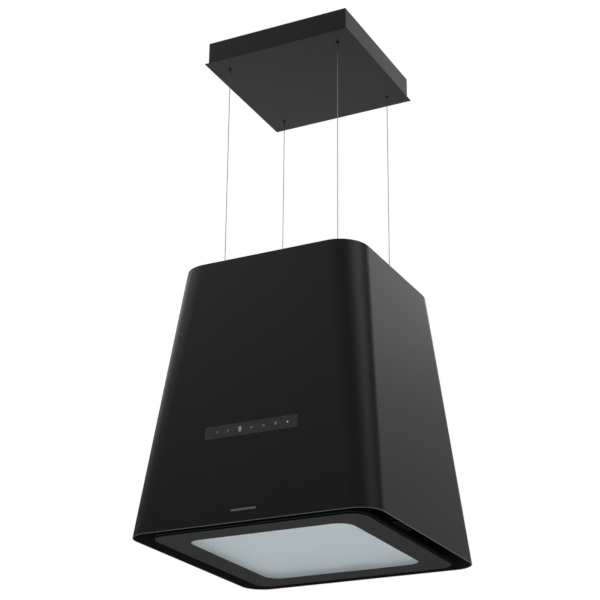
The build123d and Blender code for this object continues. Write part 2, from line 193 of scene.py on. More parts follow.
def noise(material, scale, detail=4.0, stretch=(1, 1, 1)):
    tree = material.node_tree
    node = tree.nodes.new("ShaderNodeTexNoise")
    node.inputs["Scale"].default_value = scale
    node.inputs["Detail"].default_value = detail
    tree.links.new(place_on(material, stretch), node.inputs["Vector"])
    return node.outputs["Fac"]


def cells(material, scale, output="Distance"):
    tree = material.node_tree
    node = tree.nodes.new("ShaderNodeTexVoronoi")
    node.inputs["Scale"].default_value = scale
    tree.links.new(place_on(material), node.inputs["Vector"])
    return node.outputs[output]


def height_share(material, low, high):
    """0 at one height of the model and 1 at another, on pieces whose origin is the model's."""
    tree = material.node_tree
    split = tree.nodes.new("ShaderNodeSeparateXYZ")
    tree.links.new(place_on(material), split.inputs[0])
    share = tree.nodes.new("ShaderNodeMapRange")
    share.inputs["From Min"].default_value = low
    share.inputs["From Max"].default_value = high
    tree.links.new(split.outputs["Z"], share.inputs["Value"])
    return share.outputs[0]


def bump(material, height, strength, distance):
    tree = material.node_tree
    node = tree.nodes.new("ShaderNodeBump")
    node.inputs["Strength"].default_value = strength
    node.inputs["Distance"].default_value = distance
    tree.links.new(height, node.inputs["Height"])
    earlier = shader_of(material).inputs["Normal"]
    if earlier.is_linked:
        tree.links.new(earlier.links[0].from_socket, node.inputs["Normal"])
    tree.links.new(node.outputs["Normal"], earlier)


def vary(material, source, socket, low, high, start=0.3, end=0.7):
    """Maps a 0 to 1 value onto a socket, between two values or two colours."""
    tree = material.node_tree
    ramp = tree.nodes.new("ShaderNodeValToRGB")
    first, last = ramp.color_ramp.elements
    first.position, last.position = start, end
    for element, value in ((first, low), (last, high)):
        element.color = (*value, 1) if isinstance(value, tuple) else (value, value, value, 1)
    tree.links.new(source, ramp.inputs["Fac"])
    tree.links.new(ramp.outputs["Color"], shader_of(material).inputs[socket])


def tint(colour, factor):
    return tuple(channel * factor for channel in colour)


# ------------------------------------------------------------------ materials

CHAMBER_TOP = 0.86  # painted glow of the light chamber's deck, in place of the light from its strips
CHAMBER_WALL = 0.02  # and of the foot of its walls, where the painted glow fades to painted shade


def powder_coat(name="powder_coat", shade=0.018, roughness=0.5):
    """Fine matt powder coat: a faint orange peel, a finer grain and slow clouds of shade."""
    colour = (shade, shade, shade * 1.02)
    material = plain(name, colour, roughness)
    grain = noise(material, 2200.0, 2.0)
    peel = noise(material, 420.0, 1.0)
    cloud = noise(material, 30.0)
    bump(material, peel, 0.12, 0.0003)
    bump(material, grain, 0.2, 0.0001)
    vary(material, cloud, "Base Color", tint(colour, 0.94), tint(colour, 1.06))
    vary(material, grain, "Roughness", roughness - 0.05, roughness + 0.05)
    return material


def brushed(name, colour, roughness, stretch=(1, 1, 14)):
    material = plain(name, colour, roughness, 1.0)
    lines = noise(material, 900.0, 3.0, stretch)
    vary(material, lines, "Roughness", roughness - 0.05, roughness + 0.05)
    cloud = noise(material, 60.0)
    vary(material, cloud, "Base Color", tint(colour, 0.92), tint(colour, 1.06))
    bump(material, lines, 0.05, 0.00003)
    return material


def galvanised():
    """Zinc-coated sheet with its spangle."""
    colour = (0.46, 0.47, 0.48)
    material = plain("galvanised", colour, 0.42, 1.0)
    spangle = cells(material, 130.0, "Color")
    vary(material, spangle, "Base Color", tint(colour, 0.8), tint(colour, 1.12), 0.1, 0.9)
    vary(material, spangle, "Roughness", 0.34, 0.52, 0.1, 0.9)
    bump(material, noise(material, 700.0), 0.08, 0.0001)
    return material


def moulded(name, colour, roughness):
    """Moulded plastic with a fine spark-eroded texture."""
    material = plain(name, colour, roughness)
    grain = noise(material, 1600.0, 2.0)
    bump(material, grain, 0.25, 0.0001)
    vary(material, grain, "Roughness", roughness - 0.06, roughness + 0.06)
    vary(material, noise(material, 40.0), "Base Color", tint(colour, 0.9), tint(colour, 1.1))
    return material


def touch_glass_black():
    """Tinted control glass, lighter than the casing, with a faint wiped haze."""
    colour = (0.108, 0.108, 0.11)
    material = plain("touch_glass", colour, 0.4)
    haze = noise(material, 90.0, 5.0)
    vary(material, haze, "Roughness", 0.36, 0.46)
    vary(material, noise(material, 25.0), "Base Color", tint(colour, 0.96), tint(colour, 1.05))
    return material


def panel_glass_black():
    """Satin-etched black glass of the light panel's ring."""
    colour = (0.0105, 0.0105, 0.011)
    material = plain("panel_glass", colour, 0.42)
    shader_of(material).inputs["Specular IOR Level"].default_value = 0.12
    etch = noise(material, 1500.0, 3.0)
    bump(material, etch, 0.1, 0.00005)
    vary(material, noise(material, 120.0), "Roughness", 0.38, 0.46)
    vary(material, noise(material, 18.0), "Base Color", tint(colour, 0.95), tint(colour, 1.05))
    return material


def glass_edge():
    """Side of the black glass: painted dark low down, and along its upper edge the teal of clear glass,
    made lighter as a painted highlight of the edge catching light.
    """
    dark, clear = (0.002, 0.003, 0.003), (0.065, 0.125, 0.12)
    material = plain("glass_edge", dark, 0.35)
    low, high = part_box("panel_glass")
    vary(material, height_share(material, low.z, high.z), "Base Color", dark, clear, 0.5, 0.65)
    vary(material, noise(material, 300.0), "Roughness", 0.28, 0.45)
    return material


def frosted():
    """Opal diffuser glass: light from the chamber behind it is scattered on its way out."""
    colour = (0.86, 0.93, 0.94)
    material = plain("frosted_glass", colour, 0.32)
    shader = shader_of(material)
    shader.inputs["Transmission Weight"].default_value = 0.92
    shader.inputs["IOR"].default_value = 1.45
    vary(material, noise(material, 500.0, 3.0), "Roughness", 0.3, 0.36)
    bump(material, noise(material, 2500.0, 2.0), 0.1, 0.00003)
    return material


def reflector():
    """White painted reflector with a painted glow in place of the light from the strips along its two
    long sides, fading to painted shade at the foot of its walls.
    """
    colour = (0.6, 0.62, 0.64)
    material = plain("reflector", colour, 0.6)
    low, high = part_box("light_chamber")
    height = height_share(material, low.z, high.z)
    vary(material, height, "Emission Strength", CHAMBER_WALL, CHAMBER_TOP, 0.62, 1.0)
    shader_of(material).inputs["Emission Color"].default_value = (0.91, 0.96, 1.0, 1)
    vary(material, noise(material, 40.0), "Base Color", tint(colour, 0.96), tint(colour, 1.02))
    bump(material, noise(material, 900.0), 0.1, 0.0001)
    return material


def glowing(name, colour, strength):
    """Print on the control glass, lit from behind."""
    material = plain(name, tint(colour, 0.1), 0.4)
    shader = shader_of(material)
    shader.inputs["Emission Color"].default_value = (*colour, 1)
    vary(material, noise(material, 900.0), "Emission Strength", strength * 0.9, strength * 1.1)
    return material


def circuit_board():
    """Green solder mask with lighter tracks."""
    material = plain("circuit_board", (0.01, 0.09, 0.04), 0.35)
    tree = material.node_tree
    tracks = tree.nodes.new("ShaderNodeTexBrick")
    tracks.inputs["Scale"].default_value = 160.0
    tracks.inputs["Mortar Size"].default_value = 0.05
    tracks.inputs["Color1"].default_value = (0.008, 0.075, 0.035, 1)
    tracks.inputs["Color2"].default_value = (0.01, 0.09, 0.04, 1)
    tracks.inputs["Mortar"].default_value = (0.03, 0.18, 0.08, 1)
    tree.links.new(place_on(material), tracks.inputs["Vector"])
    tree.links.new(tracks.outputs["Color"], shader_of(material).inputs["Base Color"])
    vary(material, noise(material, 200.0), "Roughness", 0.3, 0.42)
    return material


def led_tape():
    """White tape with warm patches for the phosphor of its lamps."""
    material = plain("led_strip", (0.8, 0.8, 0.78), 0.5)
    patches = noise(material, 80.0, 1.0, (1, 1, 0))
    vary(material, patches, "Base Color", (0.85, 0.84, 0.8), (0.8, 0.62, 0.2))
    vary(material, noise(material, 300.0), "Roughness", 0.42, 0.58)
    return material


def magnet_nickel():
    material = plain("magnet_nickel", (0.42, 0.42, 0.43), 0.3, 1.0)
    vary(material, noise(material, 250.0), "Roughness", 0.22, 0.4)
    vary(material, noise(material, 90.0), "Base Color", (0.36, 0.36, 0.37), (0.46, 0.46, 0.46))
    return material


def charcoal_case():
    """Moulded cartridge, with the granules of its filling in the grain."""
    colour = (0.016, 0.016, 0.017)
    material = plain("charcoal_case", colour, 0.6)
    granules = cells(material, 420.0)
    bump(material, granules, 0.5, 0.0004)
    vary(material, granules, "Base Color", tint(colour, 1.3), tint(colour, 0.6))
    return material


def aluminium_mesh():
    colour = (0.2, 0.2, 0.2)
    material = plain("filter_aluminium", colour, 0.4, 1.0)
    vary(material, noise(material, 500.0), "Roughness", 0.32, 0.5)
    vary(material, noise(material, 35.0), "Base Color", tint(colour, 0.82), tint(colour, 1.05))
    return material


# ------------------------------------------------------------------ mesh helpers


def ring_of(width, depth, corner, z, steps=14):
    """Points round a rounded rectangle, with one more on the straight by each arc's end."""
    ring = []
    support = min(2 * MM, corner)
    for quarter, (side_x, side_y) in enumerate(((1, 1), (-1, 1), (-1, -1), (1, -1))):
        middle = Vector((side_x * (width / 2 - corner), side_y * (depth / 2 - corner)))
        angles = [math.radians(90 * (quarter + step / steps)) for step in range(steps + 1)]
        arc = [middle + corner * Vector((math.cos(a), math.sin(a))) for a in angles]
        along = [Vector((-math.sin(a), math.cos(a))) for a in (angles[0], angles[-1])]
        arc = [arc[0] - along[0] * support] + arc + [arc[-1] + along[1] * support]
        ring += [Vector((point.x, point.y, z)) for point in arc]
    return ring


def eased(points, radius, closed=True, steps=3):
    """Outline of (inset, z) points, with each corner turned into a short curve."""
    result = []
    count = len(points)
    for index, place in enumerate(points):
        corner = Vector(place)
        if not closed and index in (0, count - 1):
            result.append(corner)
            continue
        before = Vector(points[index - 1]) - corner
        after = Vector(points[(index + 1) % count]) - corner
        reach = min(radius, before.length * 0.45, after.length * 0.45)
        start = corner + before.normalized() * reach
        end = corner + after.normalized() * reach
        for step in range(steps + 1):
            share = step / steps
            result.append(start.lerp(corner, share).lerp(corner.lerp(end, share), share))
    return result


def skin(rings, wrap=False):
    """Quads between rings of equal length; open ends are closed with one flat face each."""
    count = len(rings[0])
    points = [point for ring in rings for point in ring]
    faces = []
    for index in range(len(rings) if wrap else len(rings) - 1):
        low, high = index * count, (index + 1) % len(rings) * count
        for step in range(count):
            after = (step + 1) % count
            faces.append((low + step, low + after, high + after, high + step))
    if not wrap:
        faces.append(tuple(range(count))[::-1])
        faces.append(tuple(range(len(points) - count, len(points))))
    return points, faces


def eased_edge(zs, ease):
    """(inset, z) points up the side of a plate whose two edges are eased."""
    low, high = zs
    turn = [math.radians(30 * step) for step in range(4)]
    lower = [(ease * (1 - math.sin(a)), low + ease * (1 - math.cos(a))) for a in turn]
    return lower + [(inset, high - (z - low)) for inset, z in lower[::-1]]


def slab_skin(size, corner, zs, ease, steps=14):
    """Rounded plate whose upper and lower edges are eased."""
    rings = []
    for inset, z in eased_edge(zs, ease):
        size_x, size_y = size[0] - 2 * inset, size[1] - 2 * inset
        rings.append(ring_of(size_x, size_y, max(corner - inset, 0.05 * MM), z, steps))
    return skin(rings)


def holed_slab_skin(outer, opening, zs, ease, steps=14):
    """Rounded plate with a rounded opening; outer and opening are (width, depth, corner)."""
    rings = []
    for inset, z in eased_edge(zs, ease):
        rings.append(ring_of(outer[0] - 2 * inset, outer[1] - 2 * inset, outer[2] - inset, z, steps))
    for inset, z in eased_edge(zs, ease)[::-1]:
        width, depth = opening[0] + 2 * inset, opening[1] + 2 * inset
        rings.append(ring_of(width, depth, opening[2] + inset, z, steps))
    return skin(rings, True)


def lathe(profile, sides=40, closed=False, outline=None):
    """Turns (radius, z) points about Z; outline changes the radius by angle and height."""
    rings = []
    for radius, z in profile:
        ring = []
        for step in range(sides):
            angle = 2 * math.pi * step / sides
            reach = outline(angle, radius, z) if outline else radius
            ring.append(Vector((reach * math.cos(angle), reach * math.sin(angle), z)))
        rings.append(ring)
    return skin(rings, closed)


def moved(shape, matrix):
    """A (points, faces) shape put in place by a matrix."""
    return [matrix @ Vector(point) for point in shape[0]], shape[1]


def joined(shapes):
    """One (points, faces) shape from several."""
    points, faces = [], []
    for shape_points, shape_faces in shapes:
        start = len(points)
        points += shape_points
        faces += [tuple(start + index for index in face) for face in shape_faces]
    return points, faces


def mark_edges(mesh, degrees):
    """Closes seams, turns normals outwards and keeps edges sharper than the angle."""
    shape = bmesh.new()
    shape.from_mesh(mesh)
    bmesh.ops.remove_doubles(shape, verts=shape.verts, dist=1e-7)
    bmesh.ops.recalc_face_normals(shape, faces=shape.faces)
    limit = math.radians(degrees)
    for face in shape.faces:
        face.smooth = True
    for edge in shape.edges:
        edge.smooth = len(edge.link_faces) == 2 and edge.calc_face_angle(0.0) < limit
    shape.to_mesh(mesh)
    shape.free()


def even_shading(piece):
    """Lets the large faces decide the normals, so that eased edges don't tint whole walls."""
    shade = piece.modifiers.new("even_shading", "WEIGHTED_NORMAL")
    shade.keep_sharp = True


def add_piece(name, shape, material, body, replaces=(), degrees=35):
    """Makes a piece that rides on a body and stands for the nodes that it replaces."""
    mesh = bpy.data.meshes.new(name)
    mesh.from_pydata(shape[0], [], shape[1])
    mark_edges(mesh, degrees)
    mesh.materials.append(material)
    piece = bpy.data.objects.new(name, mesh)
    bpy.context.collection.objects.link(piece)
    even_shading(piece)
    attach(piece, body)
    if replaces:
        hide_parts(*replaces)
    return piece


def cut(piece, shape, degrees=35):
    """Takes a closed shape out of a piece's mesh."""
    mesh = bpy.data.meshes.new("cutter")
    mesh.from_pydata(shape[0], [], shape[1])
    mark_edges(mesh, degrees)
    cutter = bpy.data.objects.new("cutter", mesh)
    bpy.context.collection.objects.link(cutter)
    piece.modifiers.clear()
    modifier = piece.modifiers.new("cut", "BOOLEAN")
    modifier.operation = "DIFFERENCE"
    modifier.solver = "EXACT"
    modifier.object = cutter
    bpy.context.view_layer.update()
    graph = bpy.context.evaluated_depsgraph_get()
    result = bpy.data.meshes.new_from_object(piece.evaluated_get(graph))
    piece.modifiers.clear()
    piece.data = result
    mark_edges(result, degrees)
    even_shading(piece)
    bpy.data.objects.remove(cutter)


def middle_of(node):
    low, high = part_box(node)
    return (low + high) / 2


def size_of(node):
    low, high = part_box(node)
    return high - low


def paint_faces(piece, material, chosen):
    """Gives the faces that pass a test, by centre and normal, a material of their own."""
    piece.data.materials.append(material)
    index = len(piece.data.materials) - 1
    for face in piece.data.polygons:
        if chosen(face.center, face.normal):
            face.material_index = index


# ------------------------------------------------------------------ casing and controls

SHELL_LOW, SHELL_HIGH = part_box("outer_shell")
BASE_SIDE = SHELL_HIGH.x - SHELL_LOW.x
TOP_SIDE = 2 * max(v.co.x for v in NODES["outer_shell"].data.vertices if v.co.z > SHELL_HIGH.z - MM)
BASE_CORNER = 46 * MM
TOP_CORNER = 59 * MM
SHEET = 1.2 * MM  # thickness of the folded steel
SLOPE = math.atan((BASE_SIDE - TOP_SIDE) / 2 / (SHELL_HIGH.z - SHELL_LOW.z))

STRIP_SIZE = (190.5 * MM, 25.8 * MM)
STRIP_CORNER = 3 * MM
STRIP_GAP = 1.2 * MM
STRIP_BACK = -2.6 * MM  # the strip's rear and front faces, from the casing's face
STRIP_FRONT = 0.4 * MM
BADGE_HEIGHT = 4 * MM
BADGE_THICKNESS = 0.6 * MM


def casing_ring(inset, z, steps=20):
    """Ring round the tapered casing at a height, set in from its outer face."""
    share = (z - SHELL_LOW.z) / (SHELL_HIGH.z - SHELL_LOW.z)
    side = BASE_SIDE + (TOP_SIDE - BASE_SIDE) * share - 2 * inset
    corner = BASE_CORNER + (TOP_CORNER - BASE_CORNER) * share - inset
    return ring_of(side, side, corner, z, steps)


def front_matrix(x, z):
    """Matrix of a place on the sloping front at a height: x to the right, y up the slope, z outwards."""
    share = (z - SHELL_LOW.z) / (SHELL_HIGH.z - SHELL_LOW.z)
    y = -(BASE_SIDE + (TOP_SIDE - BASE_SIDE) * share) / 2
    turn = Matrix.Rotation(math.radians(90) - SLOPE, 4, "X")
    return Matrix.Translation((x, y, z)) @ turn


def strip_matrix():
    return front_matrix(0, middle_of("touch_glass").z)


def edge_painted_highlight():
    """Lower edge of the sheet, in a much lighter and glossier coat: a painted highlight along the edge.
    """
    return powder_coat("edge_painted_highlight", 0.42, 0.38)


def make_casing(coat):
    """Tapered shell of folded sheet, with the control strip's opening cut in its front."""
    low, high = SHELL_LOW.z, SHELL_HIGH.z
    outer = [(0, low), (0, high)]
    inner = [(SHEET, high), (SHEET, low)]
    profile = eased(outer + inner, 0.55 * MM)
    rings = [casing_ring(inset, z) for inset, z in profile]
    casing = add_piece("casing", skin(rings, True), coat, "hood", ["outer_shell"])
    size = [side + STRIP_GAP for side in STRIP_SIZE]
    opening = slab_skin(size, STRIP_CORNER + STRIP_GAP / 2, (-4 * MM, 4 * MM), 0.02 * MM, 6)
    cut(casing, moved(opening, strip_matrix()))
    # The lowest band of the sheet gets the lighter coat, a painted highlight along its edge
    hem = 0.6 * MM
    paint_faces(casing, edge_painted_highlight(), lambda centre, normal: centre.z < low + hem)


def ribbon(points, width, closed=False, thickness=0.03 * MM):
    """Flat line of print along points in the strip's plane, as a thin closed strip."""
    count = len(points)
    sides = []
    for index, (x, y) in enumerate(points):
        before = points[index - 1] if index or closed else points[index]
        after = points[(index + 1) % count] if index < count - 1 or closed else points[index]
        along = (Vector(after) - Vector(before)).normalized()
        offset = Vector((-along.y, along.x)) * width / 2
        sides.append((Vector((x, y)) + offset, Vector((x, y)) - offset))
    rings = []
    for left, right in sides:
        base = [(left, 0), (right, 0), (right, thickness), (left, thickness)]
        rings.append([Vector((side.x, side.y, z)) for side, z in base])
    return skin(rings, closed)


def arc_points(radius, start=0, end=360, count=20, centre=(0, 0)):
    """Points along an arc, from one angle to another in degrees."""
    angles = [math.radians(start + (end - start) * step / count) for step in range(count + 1)]
    return [(centre[0] + radius * math.cos(a), centre[1] + radius * math.sin(a)) for a in angles]


# Each symbol is a list of (points, closed) lines in millimetres round its own middle


def symbol_timer():
    ring = arc_points(2.3, 0, 360, 24)[:-1]
    return [(ring, True), ([(0, 1.5), (0, 0), (1.1, -0.6)], False)]


def symbol_drop():
    return [([(0, 3.4), (2.3, -0.3), (0, -3), (-2.3, -0.3)], True)]


def symbol_digit():
    """All seven bars of a display digit."""
    wide, tall = 2.0, 2.1
    bars = [[(-wide + 0.5, y), (wide - 0.5, y)] for y in (-2 * tall, 0, 2 * tall)]
    for x in (-wide, wide):
        bars += [[(x, 0.5), (x, 2 * tall - 0.5)], [(x, -0.5), (x, 0.5 - 2 * tall)]]
    return [(bar, False) for bar in bars]


def symbol_down():
    return [([(-2.6, 1.3), (0, -1.4), (2.6, 1.3)], False)]


def symbol_up():
    return [([(-2.6, -1.3), (0, 1.4), (2.6, -1.3)], False)]


def symbol_lamp():
    globe = arc_points(1.9, -50, 230, 18, (0, 0.7))
    collar = [(-0.9, -1.6), (0.9, -1.6)]
    cap = [(-0.6, -2.3), (0.6, -2.3)]
    return [(globe, False), (collar, False), (cap, False)]


def symbol_power():
    return [(arc_points(0.75, 0, 360, 16)[:-1], True)]


def make_controls():
    """Control glass with chamfered edges, and its seven printed symbols."""
    zs = (STRIP_BACK, STRIP_FRONT)
    glass = slab_skin(STRIP_SIZE, STRIP_CORNER, zs, 0.35 * MM, 8)
    add_piece(
        "control_glass", moved(glass, strip_matrix()), touch_glass_black(), "hood",
        ["touch_glass"],
    )
    faint = glowing("print_faint", (0.8, 0.82, 0.85), 0.22)
    lit = glowing("print_lit", (0.8, 0.82, 0.85), 0.38)
    bright = glowing("print_bright", (0.9, 0.92, 0.95), 0.5)
    symbols = [  # name, shape, millimetres from the middle, line width and print
        ("timer", symbol_timer, -69, 0.35, faint),
        ("filter", symbol_drop, -47, 0.6, faint),
        ("digit", symbol_digit, -22, 1.5, lit),
        ("down", symbol_down, 2, 1.25, faint),
        ("up", symbol_up, 26, 1.25, faint),
        ("lamp", symbol_lamp, 51, 0.6, lit),
        ("power", symbol_power, 75, 1.5, bright),
    ]
    for name, make, x, width, material in symbols:
        lines = []
        for points, closed in make():
            scaled = [(px * MM, py * MM) for px, py in points]
            lines.append(ribbon(scaled, width * MM, closed))
        place = strip_matrix() @ Matrix.Translation((x * MM, 0, STRIP_FRONT + 0.01 * MM))
        add_piece(f"symbol_{name}", moved(joined(lines), place), material, "hood")


def make_badge():
    """Slim plain bar of brushed metal, low on the front."""
    size = size_of("blank_badge")
    middle = middle_of("blank_badge")
    face = (size.x, BADGE_HEIGHT)
    plate = slab_skin(face, 1 * MM, (0, BADGE_THICKNESS), 0.2 * MM, 6)
    place = front_matrix(middle.x, middle.z)
    metal = brushed("badge_metal", (0.55, 0.55, 0.56), 0.42, (14, 1, 1))
    add_piece("plain_badge", moved(plate, place), metal, "hood", ["blank_badge"])


# ------------------------------------------------------------------ light panel

PANEL_CORNER = 32 * MM
WINDOW_CORNER = 30 * MM
WINDOW_GAP = 0.2 * MM
TRAY_CORNER = 29 * MM
LIGHT_BOX_SIZE = (352 * MM, 364 * MM)
LIGHT_BOX_CORNER = 20 * MM
TRAY_RIM = 7.2 * MM
DECK_LIP = 6 * MM  # how far the deck's bent edge reaches in before the flat middle


def make_panel_glass():
    """Ring of black glass, and the frosted window that fills its opening."""
    low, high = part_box("panel_glass")
    pane_low, pane_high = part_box("window_glass")
    pane = pane_high - pane_low
    outer = (high.x - low.x, high.y - low.y, PANEL_CORNER)
    opening = (pane.x + 2 * WINDOW_GAP, pane.y + 2 * WINDOW_GAP, WINDOW_CORNER)
    ring = add_piece(
        "glass_ring", holed_slab_skin(outer, opening, (low.z, high.z), 0.5 * MM),
        panel_glass_black(), "light_panel", ["panel_glass"],
    )
    paint_faces(ring, glass_edge(), lambda centre, normal: abs(normal.z) < 0.8)
    corner = WINDOW_CORNER - WINDOW_GAP
    shape = slab_skin((pane.x, pane.y), corner, (pane_low.z, pane_high.z), 0.3 * MM)
    add_piece("diffuser", shape, frosted(), "light_panel", ["window_glass"])


def make_tray(coat):
    """Folded tray: a shallow rim on the glass and a raised box over the light, bends rounded."""
    low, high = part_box("panel_tray")
    rim = low.z + TRAY_RIM
    size = high - low
    ledge = ((size.x - LIGHT_BOX_SIZE[0]) / 2, (size.y - LIGHT_BOX_SIZE[1]) / 2)
    step = ledge[0]
    deck = step + DECK_LIP
    outside = [(deck, high.z), (step, high.z), (step, rim), (0, rim), (0, low.z)]
    inside = [
        (SHEET, low.z), (SHEET, rim - SHEET), (step + SHEET, rim - SHEET),
        (step + SHEET, high.z - SHEET), (deck, high.z - SHEET),
    ]
    rings = []
    for inset, z in eased(outside + inside, 1.4 * MM, False):
        share = inset / step
        width = size.x - 2 * inset
        depth = size.y - 2 * ledge[1] * share
        corner = TRAY_CORNER + (LIGHT_BOX_CORNER - TRAY_CORNER) * share
        rings.append(ring_of(width, depth, corner, z))
    add_piece("light_tray", skin(rings), coat, "light_panel", ["panel_tray"])


# ------------------------------------------------------------------ canopy

CANOPY_CORNER = 1.6 * MM
CANOPY_WALL = 1.5 * MM
FLANGE_DEPTH = 21 * MM
FLANGE_DROP = (4.1 * MM, 2.5 * MM)  # its lower and upper faces, below the ceiling
LID_CORNER = 1.2 * MM
GROMMET_HOLE_RADIUS = 5.2 * MM
SCREW_HOLE_RADIUS = 2.1 * MM
SCREW_REACH = 144 * MM  # from the middle to each screw in the flange


def wire_places():
    return [middle_of(f"wire_rope_{number}").xy for number in range(1, 5)]


def drills(places, zs, radius):
    """Round rods between two heights, to be cut out of a piece."""
    profile = [(radius, zs[0]), (radius, zs[1])]
    return joined([moved(lathe(profile, 36), Matrix.Translation((x, y, 0))) for x, y in places])


def make_canopy(coat):
    """Folded walls with an inward flange, and the thin lid that covers them from below."""
    low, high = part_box("canopy_walls")
    side = high.x - low.x
    flange_low, flange_high = high.z - FLANGE_DROP[0], high.z - FLANGE_DROP[1]
    profile = [
        (0, low.z), (0, high.z), (CANOPY_WALL, high.z), (CANOPY_WALL, flange_high),
        (FLANGE_DEPTH, flange_high), (FLANGE_DEPTH, flange_low), (CANOPY_WALL, flange_low),
        (CANOPY_WALL, low.z),
    ]
    rings = []
    for inset, z in eased(profile, 0.5 * MM):
        corner = max(CANOPY_CORNER - inset, 0.3 * MM)
        rings.append(ring_of(side - 2 * inset, side - 2 * inset, corner, z, 5))
    shape = skin(rings, True)
    walls = add_piece("canopy_frame", shape, coat, "root", ["canopy_walls"])
    places = [(-SCREW_REACH, 0), (SCREW_REACH, 0), (0, -SCREW_REACH), (0, SCREW_REACH)]
    cut(walls, drills(places, (flange_low - MM, flange_high + MM), SCREW_HOLE_RADIUS))
    low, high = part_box("canopy_lid")
    plate = slab_skin((high.x - low.x, high.y - low.y), LID_CORNER, (low.z, high.z), 0.35 * MM, 5)
    lid = add_piece("canopy_cover", plate, coat, "root", ["canopy_lid"])
    cut(lid, drills(wire_places(), (low.z - MM, high.z + MM), GROMMET_HOLE_RADIUS))


def make_grommets():
    """Rubber rings in the lid's holes, each with a lip above the lid."""
    lid_low, lid_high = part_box("canopy_lid")
    top = lid_high.z + 1.5 * MM
    bore, neck, lip = 3.4 * MM, 5.15 * MM, 7 * MM
    profile = [
        (bore, lid_low.z), (neck, lid_low.z), (neck, lid_high.z), (lip, lid_high.z), (lip, top),
        (bore, top),
    ]
    ring = lathe(eased(profile, 0.5 * MM), 36, True)
    rings = [moved(ring, Matrix.Translation((x, y, 0))) for x, y in wire_places()]
    rubber = moulded("rubber", (0.018, 0.018, 0.018), 0.6)
    add_piece("wire_grommets", joined(rings), rubber, "root", ["lid_grommets"])


# ------------------------------------------------------------------ suspension

STRAND_RADIUS = 0.25 * MM
STRAND_COUNT = 6
LAY_LENGTH = 11 * MM  # along the rope for one turn of a strand
STOP_RADIUS = 3 * MM
STOP_LENGTH = 6 * MM
BALL_RADIUS = 5.95 * MM
BALL_BORE = 1.25 * MM
SEAT_RADIUS = 6.05 * MM  # inside of the socket that an anchor ball sits in
WIRE_OPENING = 3.5 * MM
ANCHOR_FOOT = 14 * MM
ANCHOR_BODY = 11 * MM
KNURL_SIDES = 72


def strand(turn, zs, rope_radius, sides=6, steps=9):
    """One outer strand of a laid rope: a thin tube on a helix about Z."""
    reach = rope_radius - STRAND_RADIUS
    rise = LAY_LENGTH / steps
    rings = []
    count = int((zs[1] - zs[0]) / rise)
    lean = math.atan2(2 * math.pi * reach, LAY_LENGTH)
    for index in range(count + 1):
        z = zs[0] + (zs[1] - zs[0]) * index / count
        angle = turn + 2 * math.pi * (z - zs[0]) / LAY_LENGTH
        out = Vector((math.cos(angle), math.sin(angle), 0))
        round_it = Vector((-math.sin(angle), math.cos(angle), 0))
        along = Vector((0, 0, 1)) * math.cos(lean) + round_it * math.sin(lean)
        side = along.cross(out)
        centre = out * reach + Vector((0, 0, z))
        ring = []
        for corner in range(sides):
            a = 2 * math.pi * corner / sides
            ring.append(centre + (out * math.cos(a) + side * math.sin(a)) * STRAND_RADIUS)
        rings.append(ring)
    return skin(rings)


def crimped_stop(zs):
    """Swaged sleeve with eased ends and two pressed waists."""
    low, high = zs
    length = high - low
    waist = STOP_RADIUS * 0.88
    profile = [(0.3 * MM, low), (STOP_RADIUS * 0.85, low), (STOP_RADIUS, low + length * 0.1)]
    press = ((-0.11, STOP_RADIUS), (-0.07, waist), (0.07, waist), (0.11, STOP_RADIUS))
    for middle in (0.32, 0.68):
        for offset, radius in press:
            profile.append((radius, low + length * (middle + offset)))
    profile += [(STOP_RADIUS, high - length * 0.1), (STOP_RADIUS * 0.85, high), (0.3 * MM, high)]
    return lathe(profile, 24)


def make_ropes():
    """Four taut wire ropes of six strands each, with a crimped stop beyond each ball."""
    steel = brushed("rope_steel", (0.55, 0.55, 0.55), 0.45, (1, 1, 1))
    for number in range(1, 5):
        node = f"wire_rope_{number}"
        low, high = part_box(node)
        middle = (low + high) / 2
        inner = (low.z + STOP_LENGTH / 2, high.z - STOP_LENGTH / 2)
        parts = []
        for index in range(STRAND_COUNT):
            parts.append(strand(2 * math.pi * index / STRAND_COUNT, inner, 0.75 * MM))
        parts.append(crimped_stop((low.z, low.z + STOP_LENGTH)))
        parts.append(crimped_stop((high.z - STOP_LENGTH, high.z)))
        shape = moved(joined(parts), Matrix.Translation((middle.x, middle.y, 0)))
        add_piece(f"rope_{number}", shape, steel, f"wire_{number}", [node], 60)


def make_swivel_balls(steel):
    """Turned balls, bored for the wire and a hair smaller than their cups."""
    start = math.asin(BALL_BORE / BALL_RADIUS)
    steps = 24
    profile = []
    for step in range(steps + 1):
        angle = start + (math.pi - 2 * start) * step / steps
        profile.append((BALL_RADIUS * math.sin(angle), BALL_RADIUS * math.cos(angle)))
    for number in range(1, 5):
        node = f"swivel_ball_{number}"
        ball = moved(lathe(profile, 48, True), Matrix.Translation(middle_of(node)))
        add_piece(f"ball_{number}", ball, steel, f"swivel_{number}", [node])


def knurled(low, high, depth):
    """Outline that pinches every other point of a turned part between two heights."""
    def outline(angle, radius, z):
        if low < z < high and radius > 8 * MM and round(angle / (2 * math.pi) * KNURL_SIDES) % 2:
            return radius - depth
        return radius
    return outline


